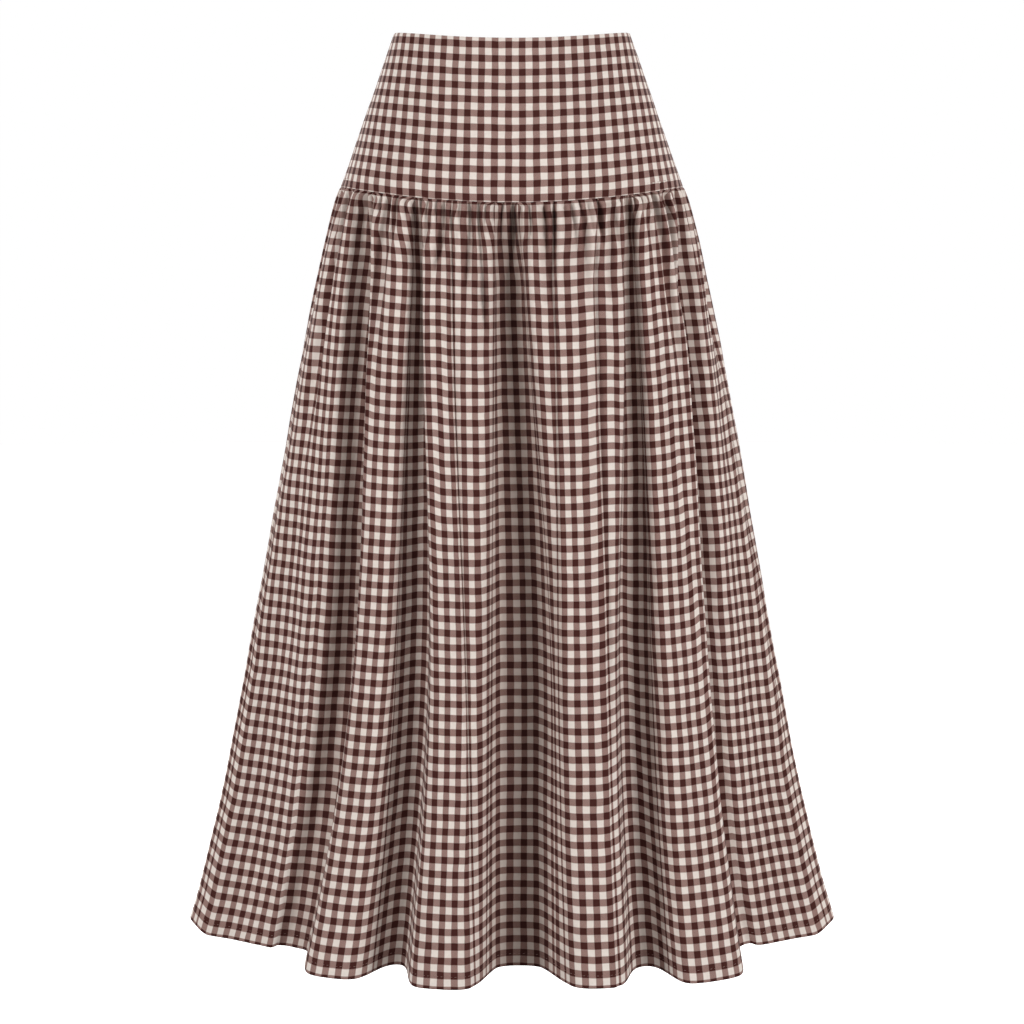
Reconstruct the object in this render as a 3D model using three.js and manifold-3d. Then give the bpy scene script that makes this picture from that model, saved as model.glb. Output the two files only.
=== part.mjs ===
// A midi skirt: a fitted hip yoke with a zip at the centre back, and a long full skirt gathered onto it.
// Millimetres, +Z up. The origin is the centre of the waist opening and the front faces -Y.
// Left and right are the wearer's, so left is +X.
import * as THREE from 'three';
import Module from 'manifold-3d';

const wasm = await Module();
wasm.setup();
const { Manifold, CrossSection } = wasm;

// Driving dimensions. Each oval is given by its half width along X and its half depth along Y.
const WAIST_HALF_WIDTH = 117.5;
const WAIST_HALF_DEPTH = 90;
const WAIST_FRONT_DIP = 10;
const SEAM_HALF_WIDTH = 171;
const SEAM_HALF_DEPTH = 126;
const SEAM_DROP = 152;
const SEAM_FRONT_DIP = 17;
const SEAM_BACK_DIP = 3;
const SKIRT_LENGTH = 745;
const HEM_DROP = 903;
const HEM_FRONT_DIP = 3;
const HEM_BACK_DIP = 6;
const HEM_LIFT = 0.2;
const HEM_SIDE_LIFT = 12;
const HEM_CORNER_LIFT = 9;
const HEM_TURN_UP = 14;
// How far the front and back are flattened out towards the sides. At 0 the section is a true oval.
const WAIST_FLATNESS = 0.1;
const SEAM_FLATNESS = 0.2;
const HEM_FLATNESS = 0.7;
const CLOTH = 1.7;
const HEM_CLOTH = 2.6;
const SEAM_GAP = 0.3;
const GATHERS = 58;
const PLEATS = 24;
const COLUMNS = 3 * GATHERS;

// The skirt's plain oval at each distance down from the seam.
const OVALS = [
  { down: 0, wide: 171, deep: 126 },
  { down: 60, wide: 188, deep: 139 },
  { down: 150, wide: 207.5, deep: 154.5 },
  { down: 300, wide: 234, deep: 177 },
  { down: 450, wide: 260, deep: 197 },
  { down: 600, wide: 288, deep: 216 },
  { down: 700, wide: 312, deep: 230 },
  { down: 745, wide: 325, deep: 237 },
];

// How far the hem stands off that oval, by angle round from the centre front towards the left.
const SWAY = [
  { at: -90, out: -12 },
  { at: -87, out: -10 },
  { at: -80, out: 6 },
  { at: -72, out: 4 },
  { at: -60, out: -8 },
  { at: -46, out: -4 },
  { at: -31, out: 9 },
  { at: -11, out: 20 },
  { at: 2, out: 20 },
  { at: 13, out: 20 },
  { at: 34, out: 19 },
  { at: 48, out: 3 },
  { at: 60, out: -8 },
  { at: 72, out: 4 },
  { at: 80, out: 6 },
  { at: 87, out: -10 },
  { at: 90, out: -12 },
  { at: 93, out: -10 },
  { at: 101, out: 8 },
  { at: 125, out: 10 },
  { at: 150, out: 14 },
  { at: 180, out: 16 },
  { at: 210, out: 14 },
  { at: 235, out: 10 },
  { at: 259, out: 8 },
  { at: 267, out: -10 },
  { at: 270, out: -12 },
];

// The levels at which a furrow's place and width are given: seam, high, middle and hem.
const LEVELS = [0, 85, 415, 745];

// The deep furrows, seam to hem: angle and half width at the four levels, depth at the lower three,
// and how soft the right and the left edges are. Angles in degrees.
const FURROWS = [
  { at: [-55.7, -50.5, -42, -46.2], half: [3.2, 4.5, 4.5, 6.8], depth: [14, 42, 60], soft: [3.4, 1.7] },
  { at: [-32, -28.6, -22.3, -21.2], half: [1.6, 1.8, 3.9, 3.2], depth: [13, 30, 44], soft: [2.4, 1.3] },
  { at: [-2, -0.6, 2, 1.5], half: [3.6, 4.3, 6.6, 5.9], depth: [13, 36, 58], soft: [2, 2.6] },
  { at: [40.7, 36.9, 28, 23.8], half: [1.6, 2.1, 4, 3.7], depth: [12, 30, 44], soft: [2, 1.7] },
  { at: [68, 64.2, 53.9, 50.6], half: [3, 4.6, 5, 6.2], depth: [12, 38, 60], soft: [1.7, 3.6] },
  { at: [112, 114, 117, 118], half: [2.5, 3.5, 5, 6], depth: [12, 34, 52], soft: [2, 3.2] },
  { at: [137, 138, 139, 139.5], half: [2, 2.6, 4, 4.2], depth: [12, 30, 46], soft: [2.6, 1.8] },
  { at: [160, 160, 160, 160.5], half: [2.6, 3.6, 4.6, 5], depth: [11, 32, 50], soft: [1.8, 2.8] },
  { at: [186, 185, 184, 183], half: [2, 2.6, 3.6, 4], depth: [12, 28, 44], soft: [2.8, 1.8] },
  { at: [211, 209, 207, 206], half: [2.6, 3.4, 4.8, 5.4], depth: [13, 34, 54], soft: [1.8, 3] },
  { at: [243, 240, 236, 234], half: [2.2, 3.2, 4.6, 5.6], depth: [12, 34, 52], soft: [3, 1.9] },
];

// The flat faces of the two outer folds, which run from the furrow beside them to the skirt's edge.
const FLATS = [
  { at: [-60, -60, -60, -64], half: [8, 8, 13, 11], depth: [0, 19, 46], soft: [4.5, 3.4] },
  { at: [74, 72, 67, 66], half: [8, 8, 8.5, 9.2], depth: [0, 18, 46], soft: [3.6, 4.5] },
];

// The shorter tucks that start at the seam: angle there, angle where they end, half width, depth
// and the distance down at which they have faded out.
const TUCKS = [
  { at: -80, to: -80, half: 1.6, depth: 4, end: 180 },
  { at: -67, to: -69, half: 1.7, depth: 7, end: 300 },
  { at: -43.5, to: -40, half: 1.6, depth: 5, end: 190 },
  { at: -18, to: -14, half: 0.9, depth: 4, end: 240 },
  { at: -10.6, to: -5.5, half: 0.9, depth: 5, end: 210 },
  { at: 13.4, to: 12, half: 0.9, depth: 4, end: 220 },
  { at: 28.4, to: 22, half: 0.9, depth: 4, end: 320 },
  { at: 52.5, to: 49.5, half: 1.2, depth: 5, end: 260 },
  { at: 59, to: 56, half: 1, depth: 5, end: 180 },
  { at: 80, to: 79, half: 1.6, depth: 5, end: 230 },
  { at: 98, to: 99, half: 1.6, depth: 6, end: 260 },
  { at: 104, to: 105, half: 1.2, depth: 5, end: 170 },
  { at: 123, to: 124, half: 1.8, depth: 8, end: 330 },
  { at: 130, to: 130, half: 1, depth: 6, end: 180 },
  { at: 146, to: 147, half: 1.6, depth: 8, end: 300 },
  { at: 153, to: 153, half: 1.1, depth: 5, end: 170 },
  { at: 170, to: 170, half: 1.9, depth: 9, end: 340 },
  { at: 177, to: 177, half: 1, depth: 5, end: 170 },
  { at: 195, to: 194, half: 1.5, depth: 7, end: 280 },
  { at: 203, to: 202, half: 1.1, depth: 5, end: 180 },
  { at: 221, to: 220, half: 1.8, depth: 9, end: 340 },
  { at: 229, to: 228, half: 1.1, depth: 5, end: 170 },
  { at: 253, to: 252, half: 1.7, depth: 8, end: 310 },
  { at: 262, to: 262, half: 1.2, depth: 5, end: 190 },
];

// How strong the small ruffles are down from the seam: gathers, pleats and the puff over them.
const RUFFLES = [
  { down: 0, gather: 0.9, pleat: 0.3, puff: 0 },
  { down: 6, gather: 1.4, pleat: 0.8, puff: 1.8 },
  { down: 20, gather: 0.8, pleat: 1.6, puff: 2 },
  { down: 46, gather: 0, pleat: 1.5, puff: 1 },
  { down: 80, gather: 0, pleat: 0.8, puff: 0.2 },
  { down: 130, gather: 0, pleat: 0.2, puff: 0 },
  { down: 200, gather: 0, pleat: 0, puff: 0 },
];

// Rows of the skirt's wall by distance down. The close rows carry twice the columns of the others.
const CLOSE_ROWS = [0, 6, 20];
const WIDE_ROWS = [46, 80, 130, 200, 290, 390, 490, 590, 680, 731, 745];

const radians = (degrees) => degrees * Math.PI / 180;
const clamp = (value, low, high) => Math.min(Math.max(value, low), high);

function smooth(value) {
  const x = clamp(value, 0, 1);
  return x * x * (3 - 2 * x);
}

// A smooth curve through the values at the knots.
function along(knots, values, at) {
  const last = knots.length - 1;
  if (at <= knots[0]) return values[0];
  if (at >= knots[last]) return values[last];
  let k = 0;
  while (knots[k + 1] <= at) k += 1;
  const slope = (i) => {
    const before = Math.max(i - 1, 0);
    const after = Math.min(i + 1, last);
    return (values[after] - values[before]) / (knots[after] - knots[before]);
  };
  const step = knots[k + 1] - knots[k];
  const x = (at - knots[k]) / step;
  return (2 * x ** 3 - 3 * x ** 2 + 1) * values[k] + (x ** 3 - 2 * x ** 2 + x) * step * slope(k)
    + (-2 * x ** 3 + 3 * x ** 2) * values[k + 1] + (x ** 3 - x ** 2) * step * slope(k + 1);
}

const column = (table, name) => table.map((entry) => entry[name]);
const wrap = (degrees) => ((degrees + 180) % 360 + 360) % 360 - 180;

// A trough's shape across: 1 in its middle, falling off at half its width on either side.
function trough(offset, half, softRight, softLeft) {
  const peak = (Math.tanh(half / softRight) + Math.tanh(half / softLeft)) / 2;
  return (Math.tanh((offset + half) / softRight) - Math.tanh((offset - half) / softLeft)) / 2 / peak;
}

function furrowDepth(furrow, down) {
  if (down < LEVELS[1]) return furrow.depth[0] * (down / LEVELS[1]) ** 0.6;
  return along(LEVELS, [0, ...furrow.depth], down);
}

// How far the cloth stands out of its plain oval at an angle and a distance down.
function folds(around, down, furrows = [...FURROWS, ...FLATS]) {
  const share = down / SKIRT_LENGTH;
  const turn = ((around + 90) % 360 + 360) % 360 - 90;
  let out = along(column(SWAY, 'at'), column(SWAY, 'out'), turn) * share ** 1.4;
  const sharpen = 0.55 + 0.45 * share;
  for (const furrow of furrows) {
    const offset = wrap(around - along(LEVELS, furrow.at, down));
    const half = along(LEVELS, furrow.half, down);
    out -= furrowDepth(furrow, down) * trough(offset, half, furrow.soft[0] * sharpen, furrow.soft[1] * sharpen);
  }
  for (const tuck of TUCKS.filter((entry) => down < entry.end)) {
    const part = down / tuck.end;
    const depth = tuck.depth * Math.min(1, down / 30) ** 0.6 * (1 - smooth((part - 0.35) / 0.65));
    const offset = wrap(around - (tuck.at + (tuck.to - tuck.at) * part));
    out -= depth * trough(offset, tuck.half * (1 + 0.6 * part), 0.9 + part, 0.9 + part);
  }
  return out;
}

function waistHeight(around) {
  return -WAIST_FRONT_DIP * Math.max(Math.cos(radians(around)), 0) ** 2;
}

function seamHeight(around) {
  const facing = Math.cos(radians(around));
  return -SEAM_DROP - SEAM_FRONT_DIP * Math.max(facing, 0) ** 2 - SEAM_BACK_DIP * Math.max(-facing, 0) ** 2;
}

function hemHeight(around) {
  const facing = Math.cos(radians(around));
  const aside = Math.abs(Math.sin(radians(around)));
  const side = HEM_SIDE_LIFT * aside ** 8 + HEM_CORNER_LIFT * smooth((aside - 0.968) / 0.016);
  const lift = HEM_LIFT * clamp(20 - folds(around, SKIRT_LENGTH, FURROWS), -10, 50) + side;
  return -HEM_DROP - HEM_FRONT_DIP * Math.max(facing, 0) ** 1.5 - HEM_BACK_DIP * Math.max(-facing, 0) ** 2 + lift;
}

// A point of a flattened oval, moved straight out of it, and the direction out.
function ovalPoint(around, { wide, deep, flatness }, move, height) {
  const s = Math.sin(radians(around));
  const c = Math.cos(radians(around));
  const fuller = 1 + flatness * s ** 4;
  const out = new THREE.Vector3(deep * (s * fuller - 4 * flatness * s ** 3 * c ** 2), -wide * c, 0).normalize();
  const point = new THREE.Vector3(wide * s, -deep * c * fuller, height).addScaledVector(out, move);
  return { point, out };
}

function skirtPoint(around, down) {
  const wide = along(column(OVALS, 'down'), column(OVALS, 'wide'), down);
  const deep = along(column(OVALS, 'down'), column(OVALS, 'deep'), down);
  const flatness = SEAM_FLATNESS + (HEM_FLATNESS - SEAM_FLATNESS) * down / SKIRT_LENGTH;
  const top = seamHeight(around) - SEAM_GAP / 2;
  const height = top + (hemHeight(around) - top) * down / SKIRT_LENGTH;
  return ovalPoint(around, { wide, deep, flatness }, folds(around, down), height);
}

function yokePoint(around, share) {
  const wide = WAIST_HALF_WIDTH + (SEAM_HALF_WIDTH - WAIST_HALF_WIDTH) * share;
  const deep = WAIST_HALF_DEPTH + (SEAM_HALF_DEPTH - WAIST_HALF_DEPTH) * share;
  const flatness = WAIST_FLATNESS + (SEAM_FLATNESS - WAIST_FLATNESS) * share;
  const top = waistHeight(around);
  const height = top + (seamHeight(around) + SEAM_GAP / 2 - top) * share;
  return ovalPoint(around, { wide, deep, flatness }, 0, height);
}

// Angles that split a curve between two angles into parts whose lengths follow the given shares.
function anglesAt(curve, from, to, shares) {
  const samples = 720;
  const lengths = [0];
  let before = curve(from).point;
  for (let i = 1; i <= samples; i += 1) {
    const next = curve(from + (to - from) * i / samples).point;
    lengths.push(lengths[i - 1] + Math.hypot(next.x - before.x, next.y - before.y));
    before = next;
  }
  let i = 0;
  return shares.map((share) => {
    const wanted = share * lengths[samples];
    while (i < samples - 1 && lengths[i + 1] < wanted) i += 1;
    const part = clamp((wanted - lengths[i]) / (lengths[i + 1] - lengths[i]), 0, 1);
    return from + (to - from) * (i + part) / samples;
  });
}

// A slow wave that makes the gathers uneven, from -1 to 1.
function uneven(share, start) {
  return (Math.sin(2 * Math.PI * 5 * share + start) + Math.sin(2 * Math.PI * 12 * share + 2 * start)) / 2;
}

// The share of the panel's width at which a column stands: nearly even, closer here and wider there.
function columnShare(share) {
  const free = Math.min(1, 8 * Math.min(share, 1 - share));
  return share + 0.004 * free * Math.sin(2 * Math.PI * 6 * share + 1.3);
}

// The small gathers and pleats under the seam, by the share of the panel's width.
function ruffle(share, down, start) {
  const at = (name) => along(column(RUFFLES, 'down'), column(RUFFLES, name), down);
  const gather = at('gather') * (1 + 0.35 * uneven(share, start)) * Math.cos(2 * Math.PI * GATHERS * share);
  const pleat = at('pleat') * Math.cos(2 * Math.PI * PLEATS * share + 1.5 * uneven(share, start + 2));
  return gather + pleat + at('puff');
}

// One row of the skirt's wall: the points of its outer and inner faces.
function skirtRow(from, to, down, columns, start) {
  const shares = Array.from({ length: columns + 1 }, (unused, i) => i / columns);
  const angles = anglesAt((around) => skirtPoint(around, down), from, to, shares.map(columnShare));
  const outer = angles.map((around, i) => {
    const { point, out } = skirtPoint(around, down);
    return point.addScaledVector(out, ruffle(shares[i], down, start));
  });
  const lower = smooth((down - 20) / 60);
  const depth = down > SKIRT_LENGTH - HEM_TURN_UP - 1 ? HEM_CLOTH : CLOTH + 0.4 * (1 - lower);
  const inner = outer.map((point, i) => {
    const step = outer[Math.min(i + 1, columns)].clone().sub(outer[Math.max(i - 1, 0)]);
    const square = new THREE.Vector3(step.y, -step.x, 0).normalize();
    const out = skirtPoint(angles[i], down).out.lerp(square, lower).normalize();
    return point.clone().addScaledVector(out, -depth);
  });
  return { outer, inner };
}

function yokeRow(from, to, share, columns, inset, depth) {
  const shares = Array.from({ length: columns + 1 }, (unused, i) => i / columns);
  const angles = anglesAt((around) => yokePoint(around, share), from, to, shares);
  const at = (around, back) => {
    const { point, out } = yokePoint(around, share);
    return point.addScaledVector(out, -back);
  };
  return { outer: angles.map((a) => at(a, inset)), inner: angles.map((a) => at(a, inset + depth)) };
}

// A closed wall through the rows, top row first, with columns that run towards the wearer's left in
// front. A row may have half the columns of the one above it.
function wall(rows) {
  const points = [];
  const index = [];
  const add = (point) => points.push(point.x, point.y, point.z) / 3 - 1;
  const outer = rows.map((row) => row.outer.map(add));
  const inner = rows.map((row) => row.inner.map(add));
  const band = (upper, lower, tri) => {
    const halved = upper.length > lower.length;
    for (let j = 0; j < lower.length - 1; j += 1) {
      if (halved) {
        tri(upper[2 * j], lower[j], upper[2 * j + 1]);
        tri(upper[2 * j + 1], lower[j], lower[j + 1]);
        tri(upper[2 * j + 1], lower[j + 1], upper[2 * j + 2]);
      } else {
        tri(upper[j], lower[j], lower[j + 1]);
        tri(upper[j], lower[j + 1], upper[j + 1]);
      }
    }
  };
  const facing = (a, b, c) => index.push(a, b, c);
  const turned = (a, b, c) => index.push(a, c, b);
  for (let r = 0; r < rows.length - 1; r += 1) {
    band(outer[r], outer[r + 1], facing);
    band(inner[r], inner[r + 1], turned);
  }
  band(inner[0], outer[0], facing);
  band(inner.at(-1), outer.at(-1), turned);
  band(outer.map((row) => row[0]), inner.map((row) => row[0]), facing);
  band(outer.map((row) => row.at(-1)), inner.map((row) => row.at(-1)), turned);
  const geometry = new THREE.BufferGeometry();
  geometry.setAttribute('position', new THREE.Float32BufferAttribute(points, 3));
  geometry.setIndex(index);
  geometry.computeVertexNormals();
  return geometry;
}

// The first and last columns stand on the side seams, half a gap off them.
function trimToSideSeams(rows, side) {
  for (const { outer, inner } of rows) {
    for (const point of [outer[0], outer.at(-1), inner[0], inner.at(-1)]) point.y = side * SEAM_GAP / 2;
  }
  return rows;
}

function skirtPanel(from, to, side, start) {
  const close = CLOSE_ROWS.map((down) => skirtRow(from, to, down, COLUMNS, start));
  const wide = WIDE_ROWS.map((down) => skirtRow(from, to, down, COLUMNS / 2, start));
  return wall(trimToSideSeams([...close, ...wide], side));
}

const YOKE_SHARES = [0, 0.25, 0.5, 0.75, 1];

function yokeFront() {
  return wall(trimToSideSeams(YOKE_SHARES.map((share) => yokeRow(-90, 90, share, 44, 0, CLOTH)), -1));
}

// Half of the yoke's back, from a side seam to the zip at the centre back.
function yokeBack(from, to) {
  const rows = YOKE_SHARES.map((share) => yokeRow(from, to, share, 22, 0, CLOTH));
  for (const { outer, inner } of rows) {
    const [sideColumn, zipColumn] = from === 90 ? [0, outer.length - 1] : [outer.length - 1, 0];
    for (const row of [outer, inner]) {
      row[sideColumn].y = SEAM_GAP / 2;
      row[zipColumn].x = Math.sign(row[sideColumn].x) * SEAM_GAP / 2;
    }
  }
  return wall(rows);
}

// The zip: a tape inside the yoke, and a slider and pull tab that lie on it at the top of the seam.
const TAPE_HALF_ANGLE = 5;
const TAPE_THICKNESS = 1;
const TAPE_GAP = 0.4;
const SLIDER = { width: 6.4, top: 4, length: 9, bottom: 0.35, thickness: 2, lug: 1, lugInside: 2.2 };
const PIVOT = { down: 14.9, off: 1.75 };
const PULL = { barrel: 1.1, barrelWidth: 3.6, pin: 0.5, pinHole: 0.8, pinReach: 3, length: 22, width: 5.6, low: 0.5, thickness: 1.2 };

function zipTape() {
  const rows = [0.02, 0.26, 0.5, 0.74, 0.96].map((share) => (
    yokeRow(180 - TAPE_HALF_ANGLE, 180 + TAPE_HALF_ANGLE, share, 6, CLOTH + TAPE_GAP, TAPE_THICKNESS)
  ));
  return wall(rows);
}

// A rod along X through a point of the zip's own frame, whose Y runs down the cloth and Z off it.
function rod(radius, from, to, down, off) {
  const bar = Manifold.cylinder(to - from, radius, radius, 24);
  return bar.rotate([0, 90, 0]).translate([from, down, off]);
}

function roundedPlate(width, length, radius, thickness) {
  const outline = CrossSection.square([width - 2 * radius, length - 2 * radius], true);
  return outline.offset(radius, 'Round', 2, 20).extrude(thickness);
}

function zipSlider() {
  const { width, top, length, bottom, thickness, lug, lugInside } = SLIDER;
  const middle = top + length / 2;
  let slider = roundedPlate(width, length, 1.4, thickness).translate([0, middle, bottom]);
  const nose = roundedPlate(3, length - 3, 1.2, 1).translate([0, middle, bottom + thickness - 0.2]);
  slider = slider.add(nose);
  for (const side of [-1, 1]) {
    const from = side > 0 ? lugInside : -lugInside - lug;
    const eye = rod(1.4, from, from + lug, PIVOT.down, PIVOT.off);
    const arm = Manifold.cube([lug, PIVOT.down - middle, thickness]).translate([from, middle, bottom]);
    slider = slider.add(eye).add(arm);
  }
  const hole = rod(PULL.pinHole, -width, width, PIVOT.down, PIVOT.off);
  return inZipFrame(slider.subtract(hole));
}

function zipPull() {
  const { barrel, barrelWidth, pin, pinReach, length, width, low, thickness } = PULL;
  const barrelPart = rod(barrel, -barrelWidth / 2, barrelWidth / 2, PIVOT.down, PIVOT.off);
  const pins = rod(pin, -pinReach, pinReach, PIVOT.down, PIVOT.off);
  const neck = Manifold.cube([3, 6, thickness]).translate([-1.5, PIVOT.down, low]);
  const blade = roundedPlate(width, length - 5, 2.6, thickness).translate([0, PIVOT.down + 5 + (length - 5) / 2, low]);
  const eye = Manifold.cylinder(3 * thickness, 1.3, 1.3, 24).translate([0, PIVOT.down + length - 3.4, low - thickness]);
  return inZipFrame(barrelPart.add(pins).add(neck).add(blade).subtract(eye));
}

// Carries a solid from the zip's own frame onto the cloth at the centre back of the waist.
function inZipFrame(solid) {
  const slope = Math.atan2(SEAM_HALF_DEPTH - WAIST_HALF_DEPTH, SEAM_DROP + SEAM_BACK_DIP);
  const mesh = solid.getMesh();
  const geometry = new THREE.BufferGeometry();
  const points = [];
  for (let i = 0; i < mesh.vertProperties.length; i += mesh.numProp) {
    const [x, down, off] = mesh.vertProperties.slice(i, i + 3);
    points.push(x, WAIST_HALF_DEPTH + down * Math.sin(slope) + off * Math.cos(slope));
    points.push(-down * Math.cos(slope) + off * Math.sin(slope));
  }
  geometry.setAttribute('position', new THREE.Float32BufferAttribute(points, 3));
  geometry.setIndex(Array.from(mesh.triVerts));
  geometry.computeVertexNormals();
  return geometry;
}

const cloth = { color: 0x9c807a, roughness: 0.9, metalness: 0 };
const tape = { color: 0x4b2624, roughness: 0.85, metalness: 0 };
const metal = { color: 0x5a3a34, roughness: 0.45, metalness: 0.4 };

const group = new THREE.Group();
group.name = 'midi_skirt';

function addPart(name, geometry, look) {
  const mesh = new THREE.Mesh(geometry, new THREE.MeshStandardMaterial(look));
  mesh.name = name;
  group.add(mesh);
}

addPart('yoke_front', yokeFront(), cloth);
addPart('yoke_back_left', yokeBack(90, 180), cloth);
addPart('yoke_back_right', yokeBack(180, 270), cloth);
addPart('skirt_front', skirtPanel(-90, 90, -1, 0.7), cloth);
addPart('skirt_back', skirtPanel(90, 270, 1, 2.9), cloth);
addPart('zip_tape', zipTape(), tape);
addPart('zip_slider', zipSlider(), metal);
addPart('zip_pull', zipPull(), metal);

export default group;
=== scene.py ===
"""A midi skirt in a small brown and cream check: a fitted hip yoke and a full gathered skirt."""
import math

import bmesh
import bpy
import numpy as np
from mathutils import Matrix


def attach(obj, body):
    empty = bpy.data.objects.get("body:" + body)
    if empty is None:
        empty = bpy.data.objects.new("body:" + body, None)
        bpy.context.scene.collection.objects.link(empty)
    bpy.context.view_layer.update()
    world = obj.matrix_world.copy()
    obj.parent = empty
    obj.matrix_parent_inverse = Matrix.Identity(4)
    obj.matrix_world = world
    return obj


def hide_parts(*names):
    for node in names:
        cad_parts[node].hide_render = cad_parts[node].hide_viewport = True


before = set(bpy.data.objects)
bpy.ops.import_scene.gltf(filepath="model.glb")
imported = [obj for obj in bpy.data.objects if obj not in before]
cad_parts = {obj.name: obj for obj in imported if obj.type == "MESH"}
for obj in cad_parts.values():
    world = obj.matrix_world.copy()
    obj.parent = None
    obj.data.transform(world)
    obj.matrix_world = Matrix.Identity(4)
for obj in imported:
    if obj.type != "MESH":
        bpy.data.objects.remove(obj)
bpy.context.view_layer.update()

# Sizes in millimetres. Angles run round from the centre front towards the wearer's left, in degrees.
WAIST = {"wide": 117.5, "deep": 90.0, "front_dip": 10.0}
SEAM = {"wide": 171.0, "deep": 126.0, "drop": 152.0, "front_dip": 17.0, "back_dip": 3.0}
HEM = {"drop": 903.0, "front_dip": 3.0, "back_dip": 6.0, "side_lift": 12.0}
LENGTH = 745.0

# The hem rises by a share of how far a fold stands in, and once more at the corners of the outer folds.
HEM_LIFT = {"share": 0.2, "level": 20.0, "least": -10.0, "most": 50.0}
HEM_CORNER = {"lift": 9.0, "from": 0.968, "over": 0.016}

# How far the front and back are flattened out towards the sides. At 0 the section is a true oval.
FLATNESS = {"waist": 0.1, "seam": 0.2, "hem": 0.7}

# How many gathers and pleats a skirt panel has, the cloth's thickness, the repeat of the check and the
# width of a thread.
GATHERS = 58
PLEATS = 24
CLOTH = 0.45
CHECK = 13.4
THREAD = 0.4

# The skirt's plain oval: distance down from the seam, half width, half depth.
OVALS = np.array([
    (0, 171, 126), (60, 188, 139), (150, 207.5, 154.5), (300, 234, 177),
    (450, 260, 197), (600, 288, 216), (700, 312, 230), (745, 325, 237),
], float)

# How far the hem stands off that oval: angle, distance out. It fades upwards by the power below.
SWAY_POWER = 1.4
SWAY = np.array([
    (-90, -12), (-87, -10), (-80, 6), (-72, 4), (-60, -8), (-46, -4), (-31, 9), (-11, 20), (2, 20),
    (13, 20), (34, 19), (48, 3), (60, -8), (72, 4), (80, 6), (87, -10), (90, -12), (93, -10), (101, 8),
    (125, 10), (150, 14), (180, 16), (210, 14), (235, 10), (259, 8), (267, -10), (270, -12),
], float)

# The distances down at which a furrow's numbers are given.
LEVELS = (0.0, 85.0, 415.0, 745.0)

# Just under the seam a furrow deepens by a power of the distance, with an extra share that fades out.
FURROW_POWER = 0.45
CRISP = {"share": 0.4, "from": 1.6, "over": 170.0}

# How soft a furrow's edges are at the seam, as a share of their softness at the hem.
SHARP_AT_SEAM = 0.34

# The deep furrows: angle and half width at the four levels, depth at the lower three, softness of the
# right and left edges.
FURROWS = [
    ((-55.7, -50.5, -42, -46.2), (3.2, 4.5, 4.5, 6.8), (14, 42, 60), (3.4, 1.7)),
    ((-32, -28.6, -22.3, -21.2), (1.6, 1.8, 3.9, 3.2), (13, 30, 44), (2.4, 1.3)),
    ((-2, -0.6, 2, 1.5), (3.6, 4.3, 6.6, 5.9), (13, 36, 58), (2, 2.6)),
    ((40.7, 36.9, 28, 23.8), (1.6, 2.1, 4, 3.7), (12, 30, 44), (2, 1.7)),
    ((68, 64.2, 53.9, 50.6), (3, 4.6, 5, 6.2), (12, 38, 60), (1.7, 3.6)),
    ((112, 114, 117, 118), (2.5, 3.5, 5, 6), (12, 34, 52), (2, 3.2)),
    ((137, 138, 139, 139.5), (2, 2.6, 4, 4.2), (12, 30, 46), (2.6, 1.8)),
    ((160, 160, 160, 160.5), (2.6, 3.6, 4.6, 5), (11, 32, 50), (1.8, 2.8)),
    ((186, 185, 184, 183), (2, 2.6, 3.6, 4), (12, 28, 44), (2.8, 1.8)),
    ((211, 209, 207, 206), (2.6, 3.4, 4.8, 5.4), (13, 34, 54), (1.8, 3)),
    ((243, 240, 236, 234), (2.2, 3.2, 4.6, 5.6), (12, 34, 52), (3, 1.9)),
]

# The flat faces of the two outer folds, from the furrow beside them to the skirt's edge, given as above.
FLATS = [
    ((-60, -60, -60, -64), (8, 8, 13, 11), (0, 19, 46), (4.5, 3.4)),
    ((74, 72, 67, 66), (8, 8, 8.5, 9.2), (0, 18, 46), (3.6, 4.5)),
]

# How a tuck runs: its depth, where it starts and begins to end, how it widens and how soft its edges are.
TUCK_FORM = {"deep": 1.35, "start": 26.0, "end_from": 0.35, "wider": 0.6, "soft": 0.5}

# The shorter tucks: angle at the seam, angle at the end, half width, depth, distance down of the end.
TUCKS = [
    (-80, -80, 1.6, 4, 180), (-67, -69, 1.7, 7, 300), (-43.5, -40, 1.6, 5, 190),
    (-23, -22, 0.8, 4, 90), (-14, -12.5, 1, 4, 150), (-10.6, -5.5, 0.8, 6, 210), (9.6, 10.6, 1, 6, 120),
    (18, 17, 1, 3, 110), (24, 20, 0.8, 4, 130), (33, 28, 0.9, 5, 110),
    (52.5, 49.5, 1.2, 5, 260), (59, 56, 1, 5, 180), (80, 79, 1.6, 5, 230),
    (98, 99, 1.6, 6, 260), (104, 105, 1.2, 5, 170), (123, 124, 1.8, 8, 330),
    (130, 130, 1, 6, 180), (146, 147, 1.6, 8, 300), (153, 153, 1.1, 5, 170),
    (170, 170, 1.9, 9, 340), (177, 177, 1, 5, 170), (195, 194, 1.5, 7, 280),
    (203, 202, 1.1, 5, 180), (221, 220, 1.8, 9, 340), (229, 228, 1.1, 5, 170),
    (253, 252, 1.7, 8, 310), (262, 262, 1.2, 5, 190),
]

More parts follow.
